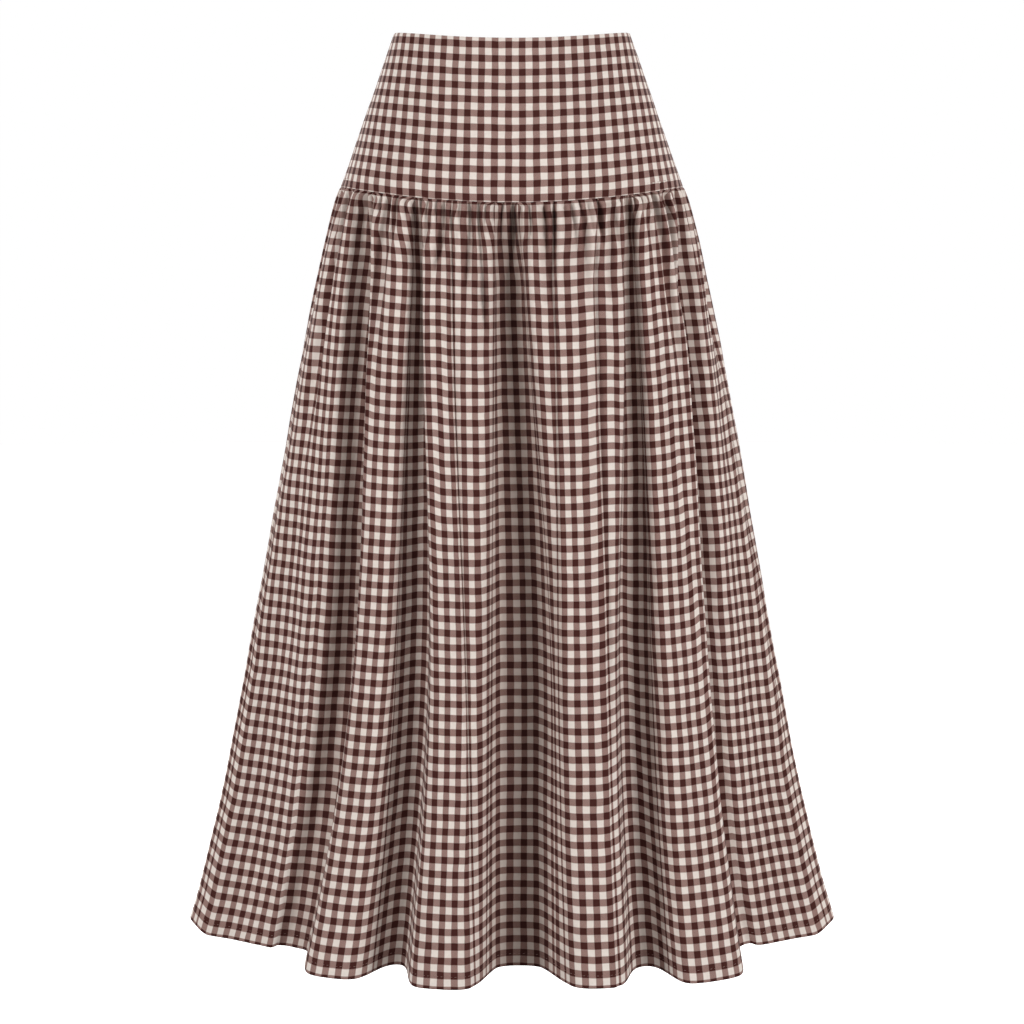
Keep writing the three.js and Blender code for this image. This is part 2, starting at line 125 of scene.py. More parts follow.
# Lines where one layer laps over the next all the way down: angle at the four levels, depth, softness
# of the right and left edges.
LAPS = [
    ((-79, -79, -78, -78), 1.2, (0.8, 1.2)), ((-19.5, -17.2, -10, -6), 3.6, (0.25, 1.5)),
    ((13.6, 12.2, 9.9, 8.9), 2.8, (1.6, 0.25)), ((29, 24.2, 20.6, 17.6), 3.6, (0.25, 1.4)),
    ((79, 79, 78, 78), 1.2, (1.2, 0.8)), ((125, 126, 127, 127.5), 3.2, (0.3, 1.4)),
    ((148.5, 149, 150, 150.5), 3.4, (1.4, 0.3)), ((172, 172.5, 172, 172), 3.6, (0.3, 1.3)),
    ((197.5, 197, 196, 195.5), 3.4, (1.3, 0.3)), ((223, 222, 220, 219.5), 3.2, (0.3, 1.4)),
]

# A lap's half width in degrees, and how it starts under the seam and fades towards the hem.
LAP_HALF = 0.45
LAP_FADE = {"start": 25.0, "share": 0.6, "from": 600.0, "over": 140.0}

# The hem's stitches: how far down they run, where they start, the pitch and length of a stitch, the
# thread's radius, and the dent that they pull into the cloth.
STITCH = {"down": 733.0, "start": 6, "pitch": 4.4, "long": 2.2, "radius": 0.2,
          "dent": 0.22, "dent_half": 1.6}

# The zip at the centre back, in a frame that runs across the cloth, down it and off it.
PIVOT = {"down": 14.9, "off": 1.75}
SLIDER = {"wide": 6.4, "long": 9.0, "middle": 8.5, "bottom": 0.35, "thick": 2.0,
          "corner": 2.6, "bevel": 0.5}
NOSE = {"wide": 3.0, "long": 6.0, "corner": 1.3, "sunk": 0.3, "thick": 1.1, "bevel": 0.4}
LUG = {"wide": 1.0, "at": 2.7, "corner": 0.4, "bevel": 0.2, "eye": 1.4, "hole": 0.8}
PULL = {"barrel": 1.1, "barrel_half": 1.8, "pin": 0.5, "pin_half": 3.0, "wide": 5.6, "long": 17.0,
        "corner": 2.7, "middle": 13.5, "low": 0.5, "thick": 1.2, "eye": 1.2, "eye_at": 18.6,
        "narrowed": 0.62}
NECK = {"wide": 2.6, "long": 7.0, "corner": 0.5, "at": 3.6, "bevel": 0.25}
TAPE = {"half_angle": 5.0, "top": 3.0, "bottom": 146.0, "inset": 2.45, "thick": 0.6}
COIL = {"pitch": 1.3, "top": 12.0, "bottom": 150.0, "half": 1.5, "deep": 0.75, "off": -4.1, "wire": 0.28}

# The angles round the section of a thread or a wire.
ROUND = np.radians(np.arange(0, 360, 72))

# Small creases in the worn cloth: start angle and distance down, end angle and distance down, half
# width in millimetres, depth.
CREASES = [
    (-9, 60, -3, 330, 7, 1.6), (5, 30, 12, 260, 6, 1.8), (-1, 120, 4, 420, 9, 1.4),
    (30, 40, 27, 300, 6, 1.4), (44, 70, 41, 330, 7, 1.2), (-48, 30, -45, 240, 6, 1.3),
    (-30, 180, -31, 420, 8, 1.0), (-74, 90, -76, 420, 10, 1.6), (-62, 260, -60, 520, 9, -1.2),
    (74, 60, 77, 380, 9, 1.5), (86, 120, 84, 460, 11, -1.2), (60, 330, 62, 560, 9, 1.2),
    (-12, 380, -14, 640, 10, -1.0), (14, 420, 11, 690, 10, 1.0), (36, 420, 35, 660, 9, -1.0),
    (92, 80, 95, 330, 9, 1.4), (118, 240, 121, 520, 9, 1.3), (108, 320, 106, 600, 10, -1.2),
    (131, 60, 134, 300, 7, 1.5), (150, 140, 152, 420, 8, 1.4), (164, 60, 167, 260, 7, -1.3),
    (173, 260, 172, 540, 10, 1.2), (190, 90, 192, 380, 8, 1.5), (199, 300, 197, 560, 9, -1.1),
    (216, 120, 214, 430, 8, 1.4), (226, 260, 224, 560, 10, 1.3), (247, 80, 244, 360, 8, 1.6),
    (258, 220, 256, 520, 10, -1.3), (266, 100, 268, 420, 9, 1.2), (238, 420, 240, 690, 10, 1.0),
]

# Strength of the ruffles under the seam: distance down, gathers, fine gathers, pleats, puff.
RUFFLES = np.array([
    (-10, 0.4, 0.0, 0.0, 0.0), (0, 0.8, 0.3, 0.2, 0.0), (3, 1.7, 0.5, 0.7, 0.5), (7, 2.1, 0.5, 1.2, 0.9),
    (13, 2.0, 0.3, 2.0, 1.1), (20, 1.5, 0.1, 2.6, 1.2), (32, 0.8, 0, 2.8, 1.0), (46, 0.3, 0, 2.4, 0.7),
    (80, 0, 0, 1.4, 0.2), (130, 0, 0, 0.5, 0), (200, 0, 0, 0, 0),
], float)

# How much calmer the ruffles are beside the side seams, and how quickly they calm down there.
CALMER = {"share": 0.8, "power": 6}

# How many samples of a row away a fold is looked for that shelters a point from the light.
REACHES = (4, 8, 14, 22, 34, 50, 72, 100, 140, 190, 260, 350, 470)

# The most that a panel's squares narrow towards the seam. The rest of the fullness goes into the tucks.
NARROWING = 0.2

# How much cloth lies lapped over at each line, all the way down.
LAPPED = 6.5

# A line of hidden fullness: how wide it is at the seam, how much wider with each millimetre down, and
# the softest edge of a furrow that still hides some.
LINE = {"wide": 1.3, "wider": 0.004, "softest": 3.3}

# Where the flat of a panel ends before its side seam, and how far the cloth lies back inside.
SEAM_END = 1.6
SEAM_WIDTH = 9.0

# How finely a row is worked out, and how many columns of faces a skirt panel has.
SKIRT_POINTS = 4201
YOKE_POINTS = 1401
SKIRT_COLUMNS = 480

SKIRT_STRETCH = 1.006
YOKE_STRETCH = 1.045
YOKE_START = 0.43
YOKE_PITCH = {"waist": 12.95, "more": 0.85}

# How far the yoke's cloth stands off its plain oval: in soft waves, and in puckers just above the seam.
YOKE_WAVES = 0.35
PUCKERS = {"from": 0.9, "deep": 0.22}

# How much of its colour the cloth loses to painted shade where it is fully sheltered, and at the bottom
# of a furrow.
SHELTER_SHADE = 0.37
DEPTH_SHADE = 0.26

# How much more the folds on the wearer's left shelter, because the photo's light comes from there.
LIGHT_SIDE = 0.45

# The painted shade is stronger under the seam and fades: amount lost, distance down where that starts,
# and over how far.
SHADE_AT_SEAM = 1.9
SHADE_FADES = ((0.9, 10.0, 70.0), (0.7, 320.0, 350.0))

# The depth at which a furrow's painted shade is full: at the seam, how much more further down, over how
# far.
FULLY_DARK = {"seam": 9.0, "more": 56.0, "over": 700.0}

# How much painted shade each furrow gets with its depth, in the order of the table of furrows.
DARKNESS = (0.8, 0.4, 1.5, 0.4, 0, 0.5, 0.5, 0.5, 0.5, 0.5, 0.5)


def smooth(value):
    x = np.clip(value, 0, 1)
    return x * x * (3 - 2 * x)


def along(knots, values, at):
    """A smooth curve through the values at the knots."""
    knots = np.asarray(knots, float)
    values = np.asarray(values, float)
    at = np.clip(at, knots[0], knots[-1])
    slopes = np.empty_like(values)
    slopes[1:-1] = (values[2:] - values[:-2]) / (knots[2:] - knots[:-2])
    slopes[0] = (values[1] - values[0]) / (knots[1] - knots[0])
    slopes[-1] = (values[-1] - values[-2]) / (knots[-1] - knots[-2])
    k = np.clip(np.searchsorted(knots, at, side="right") - 1, 0, len(knots) - 2)
    step = knots[k + 1] - knots[k]
    x = (at - knots[k]) / step
    start = (2 * x**3 - 3 * x**2 + 1) * values[k] + (x**3 - 2 * x**2 + x) * step * slopes[k]
    end = (-2 * x**3 + 3 * x**2) * values[k + 1] + (x**3 - x**2) * step * slopes[k + 1]
    return start + end


def wrap(degrees):
    return (degrees + 180) % 360 - 180


def trough(offset, half, soft_right, soft_left):
    """The cross section of a trough, 1 at its deepest."""
    peak = (np.tanh(half / soft_right) + np.tanh(half / soft_left)) / 2
    return (np.tanh((offset + half) / soft_right) - np.tanh((offset - half) / soft_left)) / 2 / peak


def furrow_depth(depth, down):
    """Quickly deeper under the seam, where the gathers press the cloth into crisp tucks."""
    crisp = CRISP["share"] * depth[0] * smooth(CRISP["from"] - down / CRISP["over"])
    if down < LEVELS[1]:
        return (depth[0] + crisp) * (max(down, 0) / LEVELS[1]) ** FURROW_POWER
    return along(LEVELS, (0,) + tuple(depth), down) + crisp


def folds(around, down, with_tucks=True, furrows=FURROWS + FLATS):
    """How far the cloth stands out of its plain oval."""
    share = max(down, 0) / LENGTH
    out = along(SWAY[:, 0], SWAY[:, 1], (around + 90) % 360 - 90) * share**SWAY_POWER
    sharpen = SHARP_AT_SEAM + (1 - SHARP_AT_SEAM) * share
    for angle, half, depth, soft in furrows:
        offset = wrap(around - along(LEVELS, angle, down))
        form = trough(offset, along(LEVELS, half, down), soft[0] * sharpen, soft[1] * sharpen)
        out = out - furrow_depth(depth, down) * form
    lapping = smooth(down / LAP_FADE["start"])
    lapping *= 1 - LAP_FADE["share"] * smooth((down - LAP_FADE["from"]) / LAP_FADE["over"])
    for angle, depth, soft in LAPS:
        offset = wrap(around - along(LEVELS, angle, down))
        out = out - depth * lapping * trough(offset, LAP_HALF, *soft)
    for start, end, half, depth, last in TUCKS if with_tucks else []:
        if 0 < down < last:
            part = down / last
            ending = smooth((part - TUCK_FORM["end_from"]) / (1 - TUCK_FORM["end_from"]))
            starting = min(1, down / TUCK_FORM["start"]) ** FURROW_POWER
            offset = wrap(around - (start + (end - start) * part))
            width = half * (1 + TUCK_FORM["wider"] * part)
            soft = TUCK_FORM["soft"] + part
            deep = TUCK_FORM["deep"] * depth * starting * (1 - ending)
            out = out - deep * trough(offset, width, soft, soft)
    return out


def creases(around, down):
    """The small troughs and ridges of worn cloth."""
    out = np.zeros_like(around)
    radius = 150 + 0.16 * max(down, 0)
    for start, top, end, bottom, half, depth in CREASES:
        if top < down < bottom:
            part = (down - top) / (bottom - top)
            strength = depth * math.sin(math.pi * part) ** 0.8
            bend = 2.0 * math.sin(math.pi * part * 1.7 + start)
            offset = np.radians(wrap(around - start - (end - start) * part)) * radius + bend
            out -= strength * np.exp(-(offset / half) ** 2)
    turn = np.radians(around)
    slow = np.sin(turn * 23 + down * 0.021) * np.sin(turn * 11 - down * 0.034 + 1.1)
    quick = np.sin(turn * 61 + down * 0.05 + 0.7) * np.sin(turn * 29 - down * 0.085)
    return out + smooth(down / 60) * (0.45 * slow + 0.2 * quick)


def waist_height(around):
    return -WAIST["front_dip"] * np.maximum(np.cos(np.radians(around)), 0) ** 2


def seam_height(around):
    facing = np.cos(np.radians(around))
    front = SEAM["front_dip"] * np.maximum(facing, 0) ** 2
    back = SEAM["back_dip"] * np.maximum(-facing, 0) ** 2
    return -SEAM["drop"] - front - back


def hem_height(around):
    facing = np.cos(np.radians(around))
    aside = np.abs(np.sin(np.radians(around)))
    corner = HEM_CORNER["lift"] * smooth((aside - HEM_CORNER["from"]) / HEM_CORNER["over"])
    sunk = HEM_LIFT["level"] - folds(around, LENGTH, furrows=FURROWS)
    lift = HEM_LIFT["share"] * np.clip(sunk, HEM_LIFT["least"], HEM_LIFT["most"])
    lift = lift + HEM["side_lift"] * aside**8 + corner
    front = HEM["front_dip"] * np.maximum(facing, 0) ** 1.5
    back = HEM["back_dip"] * np.maximum(-facing, 0) ** 2
    return -HEM["drop"] - front - back + lift


def oval(around, wide, deep, flatness):
    """Points of a flattened oval and the directions straight out of it."""
    s = np.sin(np.radians(around))
    c = np.cos(np.radians(around))
    fuller = 1 + flatness * s**4
    points = np.stack([wide * s, -deep * c * fuller], -1)
    out = np.stack([deep * (s * fuller - 4 * flatness * s**3 * c**2), -wide * c], -1)
    return points, out / np.linalg.norm(out, axis=-1, keepdims=True)


def skirt_oval(around, down):
    wide, deep = (along(OVALS[:, 0], OVALS[:, k], down) for k in (1, 2))
    flatness = FLATNESS["seam"] + (FLATNESS["hem"] - FLATNESS["seam"]) * down / LENGTH
    return oval(around, wide, deep, flatness)


def lengths(points):
    steps = np.linalg.norm(np.diff(points, axis=0), axis=-1)
    return np.concatenate([[0], np.cumsum(steps)])


def square_to(points):
    """Directions straight out of a curve that runs towards the wearer's left in front."""
    step = np.gradient(points, axis=0)
    out = np.stack([step[:, 1], -step[:, 0]], -1)
    return out / np.linalg.norm(out, axis=-1, keepdims=True)


def uneven(share, start):
    """A slow wander between -1 and 1, so that the gathers aren't alike."""
    return (np.sin(2 * np.pi * 5 * share + start) + np.sin(2 * np.pi * 12 * share + 2 * start)) / 2


def gathered(turn):
    """A wave with rounded ridges and narrow valleys."""
    return 1 - 2 * (1 - np.abs(np.sin(turn / 2))) ** 1.5


def ruffle(share, down, start):
    """The gathers and pleats that hang from the seam."""
    gather, fine, pleat, puff = (along(RUFFLES[:, 0], RUFFLES[:, k], down) for k in (1, 2, 3, 4))
    calmer = 1 - CALMER["share"] * np.abs(2 * share - 1) ** CALMER["power"]
    wave = 2 * np.pi * GATHERS * share + 1.1 * uneven(share, start + 1)
    out = gather * (1 + 0.4 * uneven(share, start)) * gathered(wave)
    out += fine * np.cos(2.37 * wave + 2 * uneven(share, start + 3))
    out += pleat * gathered(2 * np.pi * PLEATS * share + 1.5 * uneven(share, start + 2))
    return (out + puff) * calmer


def hiding_lines(first, last, down):
    """Angles of the lines that the cloth hides its fullness in, at a distance down."""
    lines = [along(LEVELS, lap[0], down) for lap in LAPS]
    for angle, half, _, soft in FURROWS:
        middle = along(LEVELS, angle, down)
        width = along(LEVELS, half, down)
        lines += [middle + way * width for way, edge in zip((-1, 1), soft) if edge < LINE["softest"]]
    return np.array(sorted(line for line in lines if first < line < last))


def line_width(down):
    """How wide a line is that fullness is hidden in."""
    return LINE["wide"] + LINE["wider"] * down


def shelter(points, out):
    """How much light each point of a row loses to the folds beside it, from 0 for none."""
    across = np.stack([-out[:, 1], out[:, 0]], -1)
    index = np.arange(len(points))
    lost = np.zeros(len(points))
    for way in (-1, 1):
        horizon = np.zeros(len(points))
        for reach in REACHES:
            step = points[np.clip(index + way * reach, 0, len(points) - 1)] - points
            rise = (step * out).sum(-1)
            run = np.abs((step * across).sum(-1)) + 0.2
            horizon = np.maximum(horizon, rise / np.hypot(rise, run))
        lost += horizon**2 * (1 + LIGHT_SIDE * way * across[:, 0]) / 2
    return lost


class Panel:
    """One panel of the skirt, from one side seam to the other."""

    def __init__(self, first, last, start):
        self.first, self.last, self.start = first, last, start
        self.around = np.linspace(first, last, SKIRT_POINTS)
        run = self.smooth_run(LENGTH)
        middle = np.interp((first + last) / 2, self.around, run)
        self.ribs = np.interp(self.rib_angles(LENGTH), self.around, run) - middle
        gaps = np.diff(self.knots(run, LENGTH)) + np.diff(self.knots(lengths(self.plain(60)), 60))
        spans = gaps[::2]
        free = SKIRT_COLUMNS - 2 * (len(gaps) // 2)
        self.counts = np.full(len(gaps), 2)
        self.counts[::2] = np.maximum(np.round(spans / spans.sum() * free), 3)

    def rib_angles(self, down):
        """Angles half way between the lines."""
        edges = np.concatenate([[self.first], hiding_lines(self.first, self.last, down), [self.last]])
        return (edges[1:] + edges[:-1]) / 2

    def plain(self, down):
        """The points of a row with its folds and creases, before the gathers."""
        points, out = skirt_oval(self.around, down)
        return points + out * (folds(self.around, down) + creases(self.around, down))[:, None]

    def smooth_run(self, down):
        """How far along the panel each point lies, not counting tucks and creases."""
        points, out = skirt_oval(self.around, down)
        share = lengths(self.plain(down))
        waves = ruffle(share / share[-1], down, self.start)
        return lengths(points + out * (folds(self.around, down, False) + waves)[:, None])

    def knots(self, run, down):
        """Where along a row its lines start and end, with the ends of the row."""
        lines = np.interp(hiding_lines(self.first, self.last, down), self.around, run)
        half = line_width(down) / 2
        inner = np.stack([lines - half, lines + half], -1).ravel()
        knots = np.concatenate([[SEAM_END], inner, [run[-1] - SEAM_END]])
        return np.maximum.accumulate(knots + 0.01 * np.arange(len(knots)))

    def spots(self, run, down):
        """Where along a row its columns stand: the same ones stay on the same line all the way down."""
        knots = self.knots(run, down)
        parts = [np.linspace(a, b, n, endpoint=False) for a, b, n in zip(knots, knots[1:], self.counts)]
        return np.concatenate(parts + [knots[-1:]])

    def weave(self, down):
        """Where along the weft each point of a row lies: even on the ribs, with the rest in the lines."""
        run = self.smooth_run(down)
        at_lines = np.interp(hiding_lines(self.first, self.last, down), self.around, run)
        at_ribs = np.interp(self.rib_angles(down), self.around, run)
        spare = np.diff(self.ribs) - np.diff(at_ribs)
        even = np.minimum(spare, NARROWING * np.diff(at_ribs))
        spread = np.concatenate([[0], np.cumsum(even)])
        across = self.ribs[0] + run - at_ribs[0] + np.interp(run, at_ribs, spread)
        for line, extra in zip(at_lines, spare - even + LAPPED):
            across += extra * smooth((run - line) / line_width(down) + 0.5)
        return across

    def row(self, down):
        """Points, directions out and place along the weft, all round the panel."""
        low = max(down, 0)
        straight = skirt_oval(self.around, low)[1]
        base = self.plain(low)
        share = lengths(base)
        points = base + straight * ruffle(share / share[-1], down, self.start)[:, None]
        lower = smooth((down - 20) / 60)
        out = straight * (1 - lower) + square_to(points) * lower
        out /= np.linalg.norm(out, axis=-1, keepdims=True)
        top = seam_height(self.around)
        height = top + (hem_height(self.around) - top) * low / LENGTH + max(-down, 0)
        run = lengths(points)
        return {"run": run, "points": points, "out": out, "height": height, "across": self.weave(low),
                "spots": self.spots(run, low), "shade": self.shade(points, straight, low)}

    def shade(self, points, straight, down):
        """The painted shade of each point of a row, for the folds beside it and its depth in a furrow."""
        sunk = np.zeros_like(self.around)
        for (angle, half, depth, soft), dark in zip(FURROWS, DARKNESS):
            offset = wrap(self.around - along(LEVELS, angle, down))
            full = FULLY_DARK["seam"] + FULLY_DARK["more"] * smooth(down / FULLY_DARK["over"])
            share = np.clip(furrow_depth(depth, down) / full, 0, 1)
            sunk += dark * share * trough(offset, along(LEVELS, half, down), *soft)
        strength = SHADE_AT_SEAM
        for less, top, over in SHADE_FADES:
            strength -= less * smooth((down - top) / over)
        # Painted shade: the share of the cloth's colour that is taken off, for shelter and furrow depth.
        return 1 - (1 - SHELTER_SHADE * strength * shelter(points, straight)) * (1 - DEPTH_SHADE * sunk)


def at_runs(row, name, runs):
    """A row's points, or its directions out, at distances along it."""
    return np.stack([np.interp(runs, row["run"], row[name][:, k]) for k in (0, 1)], -1)


def sheet_mesh(name, rows, insets, seam):
    """A cloth sheet through rows. With a seam width, its ends turn in and lie back inside that far."""
    turned = [(seam, 1.9), (seam / 2, 1.8), (1.2, 1.6), (0.3, 1.1), (0.0, 0.55), (0.5, 0.15)]
    runs, depths = np.array(turned if seam else [(0.0, 0.0)]).T
    verts, coords, shade = [], [], []
    for row, inset in zip(rows, insets):
        whole = row["run"][-1]
        spots = np.concatenate([runs, row["spots"], whole - runs[::-1]])
        sink = np.concatenate([depths, np.zeros(len(row["spots"])), depths[::-1]])
        xy = at_runs(row, "points", spots) - at_runs(row, "out", spots) * (inset + sink)[:, None]
        z = np.interp(spots, row["run"], row["height"])
        verts.append(np.column_stack([xy, z]))
        u = np.interp(spots, row["run"], row["across"])
        coords.append(np.column_stack([u, np.full(len(u), row["woven"])]))
        shade.append(np.interp(spots, row["run"], row["shade"]))
    wide = len(verts[0])
    verts = np.concatenate(verts) / 1000
    coords = np.concatenate(coords) / 1000
    tall = len(rows)
    index = np.arange(tall * wide).reshape(tall, wide)
    faces = np.stack([index[:-1, :-1], index[1:, :-1], index[1:, 1:], index[:-1, 1:]], -1).reshape(-1, 4)
    return cloth_object(name, verts, faces, coords, np.concatenate(shade))


def cloth_object(name, verts, faces, coords, shade):
    """A smooth mesh that carries its place along the cloth and its painted shade."""
    mesh = bpy.data.meshes.new(name)
    mesh.from_pydata(verts.tolist(), [], faces.tolist())
    mesh.polygons.foreach_set("use_smooth", [True] * len(mesh.polygons))
    layer = mesh.uv_layers.new(name="cloth")
    loops = np.empty(len(mesh.loops), int)
    mesh.loops.foreach_get("vertex_index", loops)
    layer.data.foreach_set("uv", coords[loops].ravel())
    # The painted shade that darkens the cloth's colour, one number for each point.
    darker = mesh.attributes.new("shade", "FLOAT", "POINT")
    darker.data.foreach_set("value", shade)
    mesh.update()
    piece = bpy.data.objects.new(name, mesh)
    bpy.context.scene.collection.objects.link(piece)
    return piece


def thicken(piece, amount):
    """Gives a cloth its thickness, inwards of the face."""
    solid = piece.modifiers.new("thickness", "SOLIDIFY")
    solid.thickness = amount / 1000
    solid.offset = -1
    solid.use_rim = True


def skirt_rows():
    """The rows of a skirt panel: distance down, how far in of the face, and distance along the warp."""
    rows = [(-9, 3.2, -11), (-5, 3.1, -7), (-2, 2.9, -4), (-0.7, 2.2, -2.2)]
    rows += [(-0.15, 1.2, -0.8), (0.25, 0.4, 0)]
    downs = [0.9, 2.2, 4, 5.5, 7, 9, 11, 13.5, 16, 19, 22, 26, 30, 35, 40, 46, 52, 59, 66, 74, 82, 91]
    downs += list(np.linspace(102, 716, 47)) + [727, 730.5, 733, 735.5, 739, 742]
    rows += [(down, 0.0, down) for down in downs]
    rows += [(744, 0.05, 744), (744.9, 0.35, 745.2), (744.9, 0.85, 746), (744, 1.2, 747)]
    return rows + [(741, 1.3, 750), (737, 1.3, 754), (733, 1.3, 758), (731.6, 1.3, 759.5)]


def skirt_panel(name, first, last, start):
    panel = Panel(first, last, start)
    rows, insets = [], []
    for down, inset, woven in skirt_rows():
        row = panel.row(down)
        row["woven"] = woven * SKIRT_STRETCH
        rows.append(row)
        dent = STITCH["dent"] * math.exp(-((down - STITCH["down"]) / STITCH["dent_half"]) ** 2)
        insets.append(inset if inset else dent)
    piece = sheet_mesh(name, rows, insets, SEAM_WIDTH)
    thicken(piece, CLOTH)
    return piece, panel


def yoke_rows():
    """The rows of the yoke, from the turned-in waist edge down to the seam and up inside again."""
    rows = [(11, 1.5), (6, 1.5), (2, 1.45), (0.6, 1.3), (0.05, 0.85), (0.05, 0.4), (0.5, 0.08)]
    drop = SEAM["drop"] - 0.1
    rows += [(down, 0.0) for down in np.linspace(1.5, drop - 2.4, 46)]
    return rows + [(drop - 0.7, 0.05), (drop - 0.1, 0.3), (drop, 0.8), (drop - 0.5, 1.3),
                   (drop - 3, 1.5), (drop - 8, 1.5)]


def yoke_row(first, last, down, columns, start):
    around = np.linspace(first, last, YOKE_POINTS)
    turn = np.radians(around)
    share = down / SEAM["drop"]
    wide = WAIST["wide"] + (SEAM["wide"] - WAIST["wide"]) * share
    deep = WAIST["deep"] + (SEAM["deep"] - WAIST["deep"]) * share
    flatness = FLATNESS["waist"] + (FLATNESS["seam"] - FLATNESS["waist"]) * share
    points, out = oval(around, wide, deep, flatness)
    part = lengths(points)
    part = part / part[-1]
    near = smooth((share - PUCKERS["from"]) / (1 - PUCKERS["from"]))
    waves = YOKE_WAVES * np.sin(turn * 9 + 5 * share + start) * np.sin(turn * 4 - 7 * share)
    gathers = 2 * np.pi * GATHERS * part * (last - first) / 180
    puckers = near * PUCKERS["deep"] * np.cos(gathers + uneven(part, start))
    points = points + out * (waves + puckers)[:, None]
    top = waist_height(around)
    height = top + (seam_height(around) - top) * share
    run = lengths(points)
    middle = 0 if first == -90 else 180
    pitch = YOKE_PITCH["waist"] + YOKE_PITCH["more"] * share
    across = (run - np.interp(middle, around, run)) * CHECK / pitch
    spots = np.linspace(SEAM_END, run[-1] - SEAM_END, columns + 1)
    return {"run": run, "points": points, "out": out, "height": height, "across": across,
            "spots": spots, "shade": np.zeros(len(run))}


def yoke_panel(name, first, last, columns, start):
    rows, insets = [], []
    for down, inset in yoke_rows():
        row = yoke_row(first, last, down, columns, start)
        row["woven"] = down * YOKE_STRETCH + YOKE_START * CHECK
        rows.append(row)
        insets.append(inset)
    piece = sheet_mesh(name, rows, insets, SEAM_WIDTH)
    thicken(piece, CLOTH)
    return piece


def stitches(name, panel):
    """A line of short stitches that lies on the cloth above the hem, half sunk into it."""
    row = panel.row(STITCH["down"])
    starts = np.arange(STITCH["start"], row["run"][-1] - STITCH["start"], STITCH["pitch"])
    solids = Solids()
    for k, start in enumerate(starts):
        rings = []
        for part, rise, size in ((0, -0.15, 0.5), (0.5, 0.1, 1.0), (1, -0.15, 0.5)):
            run = start + STITCH["long"] * part
            out = at_runs(row, "out", run)
            radius = STITCH["radius"] * size
            flat = at_runs(row, "points", run) + out * rise
            slant = 0.25 * (part - 0.5) * (1 + 0.5 * math.sin(1.9 * k))
            z = np.interp(run, row["run"], row["height"]) + slant + radius * np.sin(ROUND)
            rings.append(np.column_stack([flat + out * radius * np.cos(ROUND)[:, None], z]))
        solids.loft(rings)
    return solids.object(name, lambda points: points / 1000)


class Solids:
    """Gathers closed solids into one mesh."""

    def __init__(self):
        self.verts, self.faces = [], []

    def bands(self, rings, closed):
        """Faces from ring to ring, and back to the first ring where they are closed."""
        start, count = len(self.verts), len(rings[0])
        for ring in rings:
            self.verts += [tuple(point) for point in ring]
        turns = len(rings) if closed else len(rings) - 1
        for k in range(turns):
            low = start + k * count
            high = start + (k + 1) % len(rings) * count
            for i in range(count):
                j = (i + 1) % count
                self.faces.append((low + i, low + j, high + j, high + i))
        return start, count

    def loft(self, rings):
        """A solid through rings that have the same number of points, closed at both ends."""
        start, count = self.bands(rings, False)
        last = start + (len(rings) - 1) * count
        self.faces.append(tuple(start + i for i in reversed(range(count))))
        self.faces.append(tuple(last + i for i in range(count)))

    def object(self, name, place):
        mesh = bpy.data.meshes.new(name)
        mesh.from_pydata(place(np.array(self.verts)).tolist(), [], self.faces)
        work = bmesh.new()
        work.from_mesh(mesh)
        bmesh.ops.recalc_face_normals(work, faces=work.faces)
        for face in work.faces:
            face.smooth = True
        for edge in work.edges:
            edge.smooth = edge.calc_face_angle(0) < math.radians(38)
        work.to_mesh(mesh)
        work.free()
        piece = bpy.data.objects.new(name, mesh)
        bpy.context.scene.collection.objects.link(piece)
        return piece


def on_back(points):
    """Carries points of the zip's own frame onto the cloth at the centre back, in metres."""
    slope = math.atan2(SEAM["deep"] - WAIST["deep"], SEAM["drop"] + SEAM["back_dip"])
    across, down, off = points.T
    back = WAIST["deep"] + down * math.sin(slope) + off * math.cos(slope)
    return np.column_stack([across, back, off * math.sin(slope) - down * math.cos(slope)]) / 1000


def rounded(wide, long, corner, inset, middle, off):
    """A rounded rectangle on the cloth, drawn in by an inset."""
    corner = max(corner - inset, 0.05)
    points = []
    for k, (right, low) in enumerate(((1, 1), (-1, 1), (-1, -1), (1, -1))):
        turn = np.radians(90 * k + np.linspace(0, 90, 10))
        x = right * (wide / 2 - inset - corner) + corner * np.cos(turn)
        y = low * (long / 2 - inset - corner) + corner * np.sin(turn)
        points.append(np.column_stack([x, middle + y, np.full(10, off)]))
    return np.concatenate(points)


def plate(solids, wide, long, corner, middle, low, thick, bevel):
    """A flat plate that lies along the cloth, with rounded corners and bevelled edges."""
    levels = ((low, bevel), (low + bevel, 0), (low + thick - bevel, 0), (low + thick, bevel))
    solids.loft([rounded(wide, long, corner, inset, middle, off) for off, inset in levels])


def circle(radius, across, down, off, count=32):
    turn = np.linspace(0, 2 * np.pi, count, endpoint=False)
    rise = off + radius * np.sin(turn)
    return np.column_stack([np.full(count, across), down + radius * np.cos(turn), rise])


def rod(solids, radius, half, bevel):
    """A round rod across the cloth, on the pivot."""
    ends = ((-half, bevel), (-half + bevel, 0), (half - bevel, 0), (half, bevel))
    solids.loft([circle(radius - less, x, PIVOT["down"], PIVOT["off"]) for x, less in ends])


